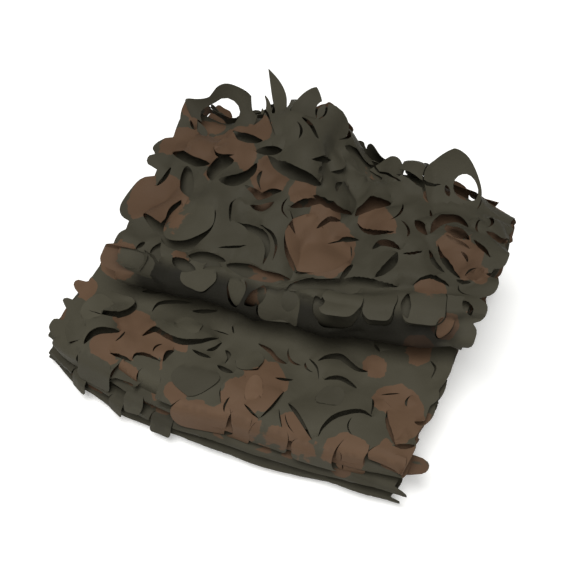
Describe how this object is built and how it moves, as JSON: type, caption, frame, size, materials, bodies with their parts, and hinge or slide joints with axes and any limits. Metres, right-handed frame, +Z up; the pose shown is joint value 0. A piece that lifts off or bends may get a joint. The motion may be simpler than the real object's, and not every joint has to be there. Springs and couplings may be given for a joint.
{
  "type": "camouflage net",
  "caption": "Leaf-cut camouflage net of coated cloth, folded back and forth into a flat stack with its last length rolled flat on the back half.",
  "frame": {"origin": "on the flat underside of the lowest layer, near the middle of the folded bundle", "axes": "+X along the folds from left to right, +Y from the stack's folded front to the rolled back, +Z up"},
  "size_m": [0.4627, 0.3841, 0.2329],
  "materials": {
    "cloth": "matte"
  },
  "bodies": {
    "root": {"camouflage_net": "cloth"}
  },
  "joints": []
}
